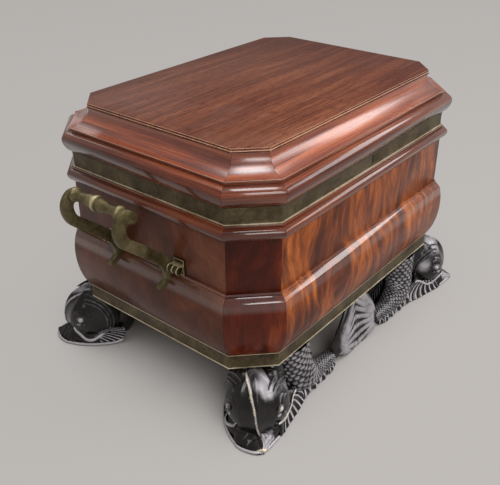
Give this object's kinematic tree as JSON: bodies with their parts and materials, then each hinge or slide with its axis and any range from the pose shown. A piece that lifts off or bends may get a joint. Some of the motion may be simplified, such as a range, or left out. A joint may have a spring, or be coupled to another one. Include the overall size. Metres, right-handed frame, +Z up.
{
  "type": "cellarette",
  "caption": "Mahogany wine cellarette with canted corners, moulded hinged lid, brass bands, lock, swinging end handles and carved dolphin feet.",
  "frame": {"origin": "on the floor, under the middle of the case", "axes": "+Z up, +X along the length, the keyhole side faces -Y"},
  "size_m": [0.9816, 0.6064, 0.555],
  "materials": {
    "lid_top": "polished mahogany with a fine straight grain",
    "lid_moulding": "glossy french polished mahogany",
    "case_veneer": "glossy flame mahogany veneer",
    "inner_wood": "plain oiled wood",
    "ebonised_wood": "ebonised and waxed, worn pale on the edges",
    "band_brass": "dark olive patina, bright edges",
    "handle_brass": "olive patina, rubbed edges",
    "hinge_brass": "satin",
    "liner_zinc": "dull zinc sheet",
    "lock_steel": "oiled steel"
  },
  "bodies": {
    "case": {"lower_wall_front": "case_veneer", "upper_wall_front": "case_veneer", "lower_wall_front_right": "case_veneer", "upper_wall_front_right": "case_veneer", "lower_wall_right": "case_veneer", "upper_wall_right": "case_veneer", "lower_wall_back_right": "case_veneer", "upper_wall_back_right": "case_veneer", "lower_wall_back": "case_veneer", "upper_wall_back": "case_veneer", "lower_wall_back_left": "case_veneer", "upper_wall_back_left": "case_veneer", "lower_wall_left": "case_veneer", "upper_wall_left": "case_veneer", "lower_wall_front_left": "case_veneer", "upper_wall_front_left": "case_veneer", "bottom_board": "inner_wood", "frieze_band": "band_brass", "base_band": "band_brass", "well_liner": "liner_zinc", "hinge_case_leaf_left": "hinge_brass", "handle_left_post_front": "handle_brass", "dolphin_front_left": "ebonised_wood", "handle_left_post_back": "handle_brass", "dolphin_back_left": "ebonised_wood", "hinge_case_leaf_right": "hinge_brass", "handle_right_post_front": "handle_brass", "dolphin_front_right": "ebonised_wood", "handle_right_post_back": "handle_brass", "dolphin_back_right": "ebonised_wood", "lock_case": "lock_steel"},
    "lid": {"lid_torus_front": "lid_moulding", "lid_cove_front": "lid_moulding", "lid_torus_front_right": "lid_moulding", "lid_cove_front_right": "lid_moulding", "lid_torus_right": "lid_moulding", "lid_cove_right": "lid_moulding", "lid_torus_back_right": "lid_moulding", "lid_cove_back_right": "lid_moulding", "lid_torus_back": "lid_moulding", "lid_cove_back": "lid_moulding", "lid_torus_back_left": "lid_moulding", "lid_cove_back_left": "lid_moulding", "lid_torus_left": "lid_moulding", "lid_cove_left": "lid_moulding", "lid_torus_front_left": "lid_moulding", "lid_cove_front_left": "lid_moulding", "lid_top_board": "lid_top", "lid_soffit": "inner_wood", "hinge_lid_leaf_left": "hinge_brass", "hinge_lid_leaf_right": "hinge_brass", "lock_link_plate": "lock_steel"},
    "lock_bolt": {"lock_bolt": "lock_steel"},
    "handle_left": {"handle_left_arm_front": "handle_brass", "handle_left_arm_back": "handle_brass", "handle_left_grip": "handle_brass"},
    "handle_right": {"handle_right_arm_front": "handle_brass", "handle_right_arm_back": "handle_brass", "handle_right_grip": "handle_brass"}
  },
  "joints": [
    {"name": "lid_hinge", "type": "hinge", "parent": "case", "child": "lid", "pos_m": [0, 0.2645, 0.4662], "axis": [-1, 0, 0], "range_deg": [0, 95]},
    {"name": "handle_left_pivot", "type": "hinge", "parent": "case", "child": "handle_left", "pos_m": [-0.378, 0, 0.316], "axis": [0, 1, 0], "range_deg": [0, 28]},
    {"name": "handle_right_pivot", "type": "hinge", "parent": "case", "child": "handle_right", "pos_m": [0.378, 0, 0.316], "axis": [0, -1, 0], "range_deg": [0, 28]},
    {"name": "lock_bolt_slide", "type": "slide", "parent": "case", "child": "lock_bolt", "axis": [1, 0, 0], "range_m": [0, 0.008]}
  ]
}
